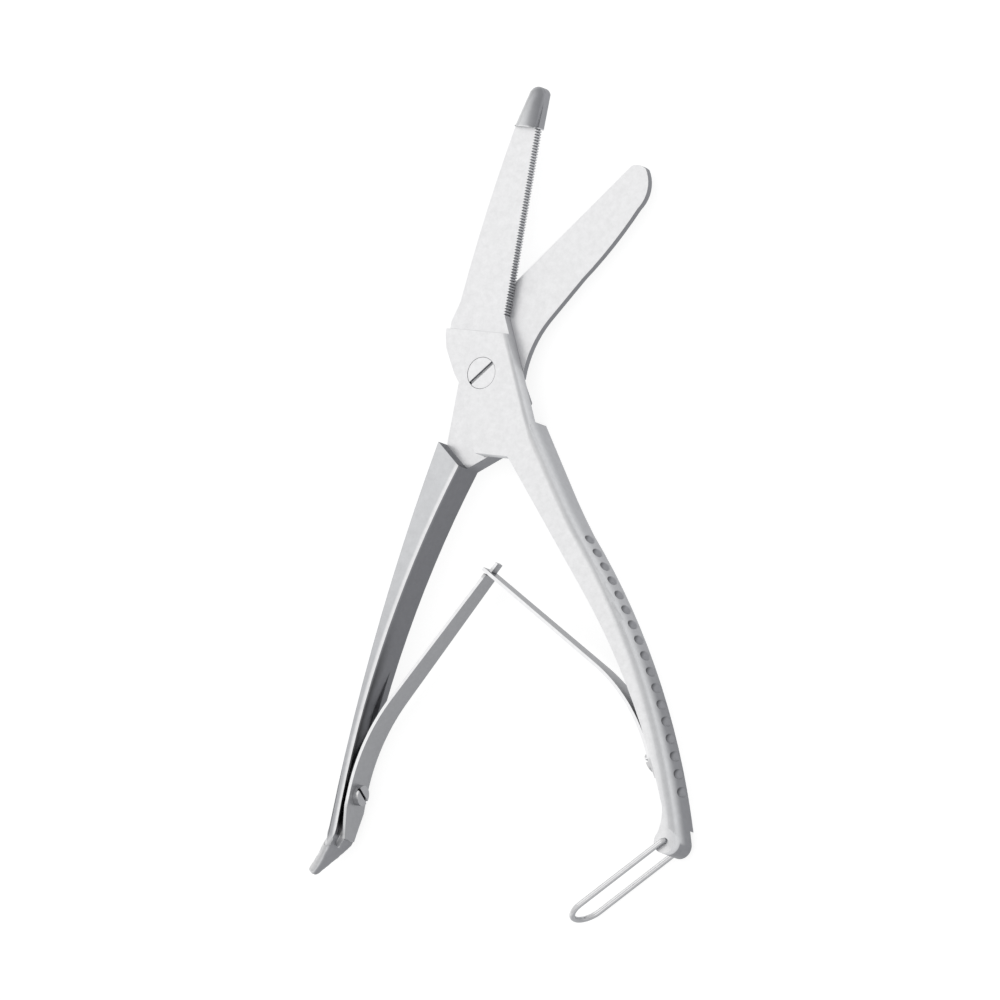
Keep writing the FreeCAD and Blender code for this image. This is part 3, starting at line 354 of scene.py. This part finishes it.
# The rear lever: a white blade and neck, a grey handle with a painted highlight along its inner
# edge, a painted highlight along the hook's outer edge, painted shade on the inner side and a
# painted shadow in the trough.
def rearTone(tree, place, flatness, upward):
    axis = addNode(tree, "ShaderNodeSeparateXYZ", Vector=place)
    y, z = axis.outputs[1:]
    base = mixColour(tree, flatness, steel["side"], steel["flat"])
    away = mathNode(tree, "SUBTRACT", radius(tree, place, layout["hookCentre"]), layout["hookRadius"] * mm)
    # the grey front leaves a painted highlight along the inner edge
    greyFront = times(tree, fadeAt(tree, away, "handleGrey"), fadeAt(tree, z, "handleFront"))
    grey = mixColour(tree, fadeAt(tree, y, "handleLow"), steel["hookHandle"], steel["hookHandleLow"])
    face = mixColour(tree, times(tree, greyFront, flatness), base, grey)
    # painted highlight along the hook's outer edge
    edgeHighlight = fadeAt(tree, inside(tree, place, *layout["hookSide"]), "hookEdgeHighlight")
    hookTone = mixColour(tree, edgeHighlight, steel["hook"], steel["hookEdgeHighlight"])
    onHook = times(tree, fadeAt(tree, y, "hook"), ramp(tree, upward, *share["hook"]))
    face = mixColour(tree, onHook, face, hookTone)
    # painted shade on the inner side
    near = times(tree, fadeAt(tree, away, "innerDepth"), fadeAt(tree, z, "innerHeight"))
    nearSide = times(tree, near, fadeAt(tree, y, "handleTop"))
    innerSideShade = mixColour(tree, times(tree, nearSide, fadeAt(tree, y, "innerEnd")), face,
                          steel["hookInnerShade"])
    # painted shadow in the trough, under its front wall
    shade = times(tree, fadeAt(tree, z, "troughHeight"), fadeAt(tree, y, "troughStart"))
    troughShadowShare = times(tree, times(tree, shade, nearSide), fadeAt(tree, y, "troughEnd"))
    return mixColour(tree, troughShadowShare, innerSideShade, steel["troughPaintedShadow"])


steelFront = satinSteel("satinSteelDimpledLever", frontTone, 0.42, 0.5)
steelRear = satinSteel("satinSteelHookedLever", rearTone, 0.42, 0.5)
steelPivot = satinSteel("satinSteelPivot", plainTone(steel["flat"], steel["side"]), 0.4, 0.5)
springTone = plainTone(steel["springFlat"], steel["springSide"])
steelSpring = satinSteel("springSteelStrip", springTone, 0.3, 0.38)


# A spring's screw has painted shade in its slot. Its axis runs out of the handle, through the head.
screws = {
    # node: (place of the head's foot, a point behind it) in millimetres, turn of its slot in degrees
    "left_spring_screw": ((-19.003, -117.136), (-19.902, -117.098), -28.0),
    "right_spring_screw": ((72.843, -100.117), (73.638, -99.694), 0.0),
}

# Millimetres; the slot's painted shade fades in between two depths and between two distances from the rim.
screwHead = {"height": 1.6, "radius": 2.8, "slotFade": (0.3, 0.6), "rimFade": (0.3, 0.4)}


def screwAxis(node):
    foot, behind = (Vector((*spot, 0)) * mm for spot in screws[node][:2])
    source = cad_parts[node]
    heights = [(source.matrix_world @ vert.co).z for vert in source.data.vertices]
    foot.z = behind.z = (min(heights) + max(heights)) / 2
    return foot, (foot - behind).normalized()


def screwTone(node):
    foot, out = screwAxis(node)
    depths = [(screwHead["height"] - value) * mm for value in screwHead["slotFade"]]
    rims = [(screwHead["radius"] - value) * mm for value in screwHead["rimFade"]]

    def tone(tree, place, flatness, upward):
        off = vectorNode(tree, "SUBTRACT", place, foot)[0]
        depth = vectorNode(tree, "DOT_PRODUCT", off, out)["Value"]
        across = vectorNode(tree, "CROSS_PRODUCT", off, out)[0]
        away = vectorNode(tree, "LENGTH", across)["Value"]
        # painted shade in the slot
        slot = times(tree, ramp(tree, depth, *depths), ramp(tree, away, *rims))
        base = mixColour(tree, flatness, steel["brightSide"], steel["bright"])
        return mixColour(tree, slot, base, steel["slot"])
    return tone


steelScrews = {node: satinSteel(node.split("_")[0] + "ScrewSteel", screwTone(node), 0.22, 0.3)
               for node in screws}
steelBright = satinSteel("polishedSteel", plainTone(steel["bright"], steel["brightSide"]), 0.22, 0.3)
print("materials made")

# Pieces that stand for the CAD nodes

bodies = {
    "front_lever": "front", "right_spring": "front", "right_spring_screw": "front",
    "rear_lever": "rear", "pivot_screw": "rear", "left_spring": "rear", "left_spring_screw": "rear",
    "lock_loop": "loop",
}


# A merged copy of a CAD node: its loose triangles welded where their corners meet.
def mergedMesh(node):
    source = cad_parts[node]
    mesh = bmesh.new()
    mesh.from_mesh(source.data)
    mesh.transform(source.matrix_world)
    bmesh.ops.remove_doubles(mesh, verts=mesh.verts, dist=0.000002)
    return mesh


# Cuts the mesh square to a direction at even steps, so that it can bend.
def cutAlong(mesh, start, direction, step, count):
    for k in range(1, count):
        parts = mesh.verts[:] + mesh.edges[:] + mesh.faces[:]
        spot = start + direction * step * k
        bmesh.ops.bisect_plane(mesh, geom=parts, plane_co=spot, plane_no=direction, dist=0.0000005)


# Cuts the faces whose middle is chosen, square to a direction through a spot.
def cutFaces(mesh, chosen, spot, direction):
    faces = [face for face in mesh.faces if chosen(face.calc_center_median())]
    corners = list(dict.fromkeys(vert for face in faces for vert in face.verts))
    sides = list(dict.fromkeys(side for face in faces for side in face.edges))
    bmesh.ops.bisect_plane(mesh, geom=corners + sides + faces, plane_co=spot, plane_no=direction,
                           dist=0.000001)


# The blunt tip: its front is a dome over the outline that the CAD knob has. Millimetres.
knob = {
    "foot": 68.3,
    "footLeft": -3.6,
    "footRight": 3.2,
    "endCentre": (1.6, 77.0),
    "endRadius": 2.45,
    "rim": 8.3,             # height of the dome's rim
    "top": 10.3,            # height of its top
    "above": 8.7,           # what lies above this is domed
    "slope": 4.5,           # length over which the end falls
    "endShare": 0.55,       # share of the height that is left at the end
    "roundness": 2.2,
    "cutsAcross": (-3.6, 0.4, 20),      # first cut, step, count
    "cutsAlong": (68.4, 0.5, 23),
    "smoothAbove": 7.9,
}


def domeHeight(x, y):
    endX, endY = knob["endCentre"]
    rise = min((y - knob["foot"]) / (endY - knob["foot"]), 1)
    left = knob["footLeft"] + (endX - knob["endRadius"] - knob["footLeft"]) * rise
    right = knob["footRight"] + (endX + knob["endRadius"] - knob["footRight"]) * rise
    half = (right - left) / 2
    across = half - abs(x - (left + right) / 2)
    if y > endY:
        across = min(across, knob["endRadius"] - math.hypot(x - endX, y - endY))
    outward = 1 - min(max(across / half, 0), 1)
    endwise = min(max((endY + knob["endRadius"] - y) / knob["slope"], 0), 1)
    fall = knob["endShare"] + (1 - knob["endShare"]) * math.sin(endwise * math.pi / 2)
    return (knob["top"] - knob["rim"]) * math.sqrt(1 - outward ** knob["roundness"]) * fall


def domeKnob(mesh):
    foot = knob["foot"] - 0.01
    for axis, name in ((Vector((1, 0, 0)), "cutsAcross"), (Vector((0, 1, 0)), "cutsAlong")):
        first, step, count = knob[name]
        for k in range(count):
            cutFaces(mesh, lambda middle: middle.y > foot * mm, axis * (first + step * k) * mm, axis)
    for vert in mesh.verts:
        x, y, z = (value / mm for value in vert.co)
        if y >= foot and z >= knob["above"]:
            vert.co.z = (knob["rim"] + domeHeight(x, y)) * mm


# The hook: the straight slopes of the CAD hook are eased to one curve with a rounded tip.
hook = {
    "easedFrom": (-23.6, -129.4),        # where the easing starts, in millimetres
    "cut": 0.6,                          # distance of the cuts, in millimetres
    "cutsAlong": (0, 22),
    "cutsAcross": (-10, 20),
    "cutsUp": (0, 16),
    "passes": 9,
}


def easeHook(mesh):
    start = Vector((*hook["easedFrom"], 0)) * mm
    outerStart, outerEnd = (Vector((*spot, 0)) for spot in layout["hookSide"])
    way = (outerEnd - outerStart).normalized()
    across = Vector((way.y, -way.x, 0))
    upright = Vector((0, 0, 1))
    for axis, first, name in ((way, start, "cutsAlong"), (across, start, "cutsAcross"),
                              (upright, Vector(), "cutsUp")):
        for k in range(*hook[name]):
            spot = first + axis * hook["cut"] * k * mm
            cutFaces(mesh, lambda middle: (middle - start).dot(way) > 0, spot, axis)
    eased = [vert for vert in mesh.verts if (vert.co - start).dot(way) > 0.1 * mm]
    for _ in range(hook["passes"]):
        bmesh.ops.smooth_vert(mesh, verts=eased, factor=0.5, use_axis_x=True, use_axis_y=True,
                              use_axis_z=True)


# Turns a spring's screw about its own axis, to where its slot stands in the photograph.
def turnScrew(mesh, node):
    foot, out = screwAxis(node)
    turn = Matrix.Rotation(math.radians(screws[node][2]), 3, out)
    bmesh.ops.rotate(mesh, cent=foot, verts=mesh.verts, matrix=turn)


# Angles in degrees; edges that turn by more than the first one are shown sharp.
corners = {"sharp": 28, "sharpOnHook": 42, "bevelled": 38, "bevelSegments": 2}


# The blunt tip is round, so none of its edges is shown sharp.
def smoothKnob(data):
    for side in data.edges:
        ends = [data.vertices[k].co for k in side.vertices]
        if all(co.y > (knob["foot"] + 0.3) * mm and co.z > knob["smoothAbove"] * mm for co in ends):
            side.use_edge_sharp = False


def makePiece(node, name, material, mesh, bevelWidth):
    data = bpy.data.meshes.new(name)
    mesh.to_mesh(data)
    mesh.free()
    piece = bpy.data.objects.new(name, data)
    bpy.context.scene.collection.objects.link(piece)
    data.materials.append(material)
    data.shade_smooth()
    sharp = corners["sharpOnHook" if node == "rear_lever" else "sharp"]
    data.set_sharp_from_angle(angle=math.radians(sharp))
    if node == "front_lever":
        smoothKnob(data)
    if bevelWidth:
        bevel = piece.modifiers.new("brokenEdges", "BEVEL")
        bevel.width = bevelWidth
        bevel.segments = corners["bevelSegments"]
        bevel.limit_method = "ANGLE"
        bevel.angle_limit = math.radians(corners["bevelled"])
        bevel.harden_normals = True
    if node == "front_lever":
        even = piece.modifiers.new("evenShading", "WEIGHTED_NORMAL")
        even.keep_sharp = True
    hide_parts(node)
    return piece


edges = {
    # node: (piece, material, slot, width of its broken edges in metres)
    "front_lever": ("dimpledLever", steelFront, "satin_steel", 0.00016),
    "rear_lever": ("hookedLever", steelRear, "satin_steel", 0.00016),
    "pivot_screw": ("pivotScrew", steelPivot, "satin_steel", 0.00014),
    "left_spring_screw": ("leftSpringScrew", steelScrews["left_spring_screw"], "bright_steel", 0.00012),
    "right_spring_screw": ("rightSpringScrew", steelScrews["right_spring_screw"], "bright_steel", 0.00012),
    "lock_loop": ("wireLoop", steelBright, "bright_steel", 0),
}


def makeRigidPieces():
    for node, (name, material, slotName, width) in edges.items():
        mesh = mergedMesh(node)
        bmesh.ops.dissolve_limit(mesh, angle_limit=math.radians(0.6), verts=mesh.verts, edges=mesh.edges)
        if node == "front_lever":
            domeKnob(mesh)
        if node == "rear_lever":
            easeHook(mesh)
        if node in screws:
            turnScrew(mesh, node)
        piece = makePiece(node, name, material, mesh, width)
        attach(piece, bodies[node])
    print("levers, screws and loop made")


makeRigidPieces()

springs = {
    # node: (piece, foot, tip) in millimetres; half way between the bodies at the tip
    "right_spring": ("rightSpring", (72.15, -97.881), (11.2, -53.6)),
    "left_spring": ("leftSpring", (-19.409, -116.112), (11.2, -53.6)),
}


springCuts = 24
springHeight = 5.9     # of the strips' middle over the rest plane, in millimetres


# Each spring runs from its foot on its own lever towards the crossing, and is cut across along that line.
def makeSprings():
    for node, (name, foot, tip) in springs.items():
        start = Vector((*foot, springHeight)) * mm
        way = Vector((*tip, springHeight)) * mm - start
        mesh = mergedMesh(node)
        bmesh.ops.dissolve_limit(mesh, angle_limit=math.radians(0.3), verts=mesh.verts, edges=mesh.edges)
        cutAlong(mesh, start, way.normalized(), way.length / springCuts, springCuts)
        piece = makePiece(node, name, steelSpring, mesh, 0)
        if bodies[node] == "front":
            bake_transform(piece)
        else:
            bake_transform(piece)
    print("springs made")


makeSprings()

# Floor and light


def makeFloor():
    bpy.ops.mesh.primitive_plane_add(size=6)
    floor = bpy.context.object
    floor.name = "floor"
    material, tree = newMaterial("whitePaper")
    path = addNode(tree, "ShaderNodeLightPath")
    paper = addNode(tree, "ShaderNodeBsdfDiffuse", Color=colour("#F7F7F7"))
    faint = addNode(tree, "ShaderNodeBsdfDiffuse", Color=(0.3, 0.3, 0.3, 1))
    seen = addNode(tree, "ShaderNodeMath", {"operation": "MAXIMUM"}, i0=path.outputs["Is Camera Ray"],
                   i1=path.outputs["Is Glossy Ray"])
    glow = addNode(tree, "ShaderNodeEmission", Color=(1, 1, 1, 1), Strength=0.84)
    both = addNode(tree, "ShaderNodeAddShader")
    tree.links.new(faint.outputs[0], both.inputs[0])
    tree.links.new(glow.outputs[0], both.inputs[1])
    mix = addNode(tree, "ShaderNodeMixShader", Fac=seen.outputs[0])
    tree.links.new(paper.outputs[0], mix.inputs[1])
    tree.links.new(both.outputs[0], mix.inputs[2])
    output = addNode(tree, "ShaderNodeOutputMaterial")
    tree.links.new(mix.outputs[0], output.inputs["Surface"])
    floor.data.materials.append(material)
    return floor


makeFloor()

world = bpy.data.worlds.new("studio")
bpy.context.scene.world = world
world.use_nodes = True
world.node_tree.nodes["Background"].inputs["Color"].default_value = (1, 1, 1, 1)
world.node_tree.nodes["Background"].inputs["Strength"].default_value = 0.72

lamps = {
    # name: (place, size, power)
    "keyPanel": ((-0.8, 0.5, 1.2), 1.2, 1.8),
    "fillPanel": ((0.5, -0.9, 1.3), 1.0, 1.0),
}


def makeLamps():
    for name, (place, size, power) in lamps.items():
        light = bpy.data.lights.new(name, "AREA")
        light.size = size
        light.energy = power
        lamp = bpy.data.objects.new(name, light)
        lamp.location = place
        lamp.rotation_euler = Vector(place).to_track_quat("Z", "Y").to_euler()
        bpy.context.scene.collection.objects.link(lamp)


makeLamps()

bpy.context.scene.view_settings.view_transform = "Standard"
print("floor and light made")
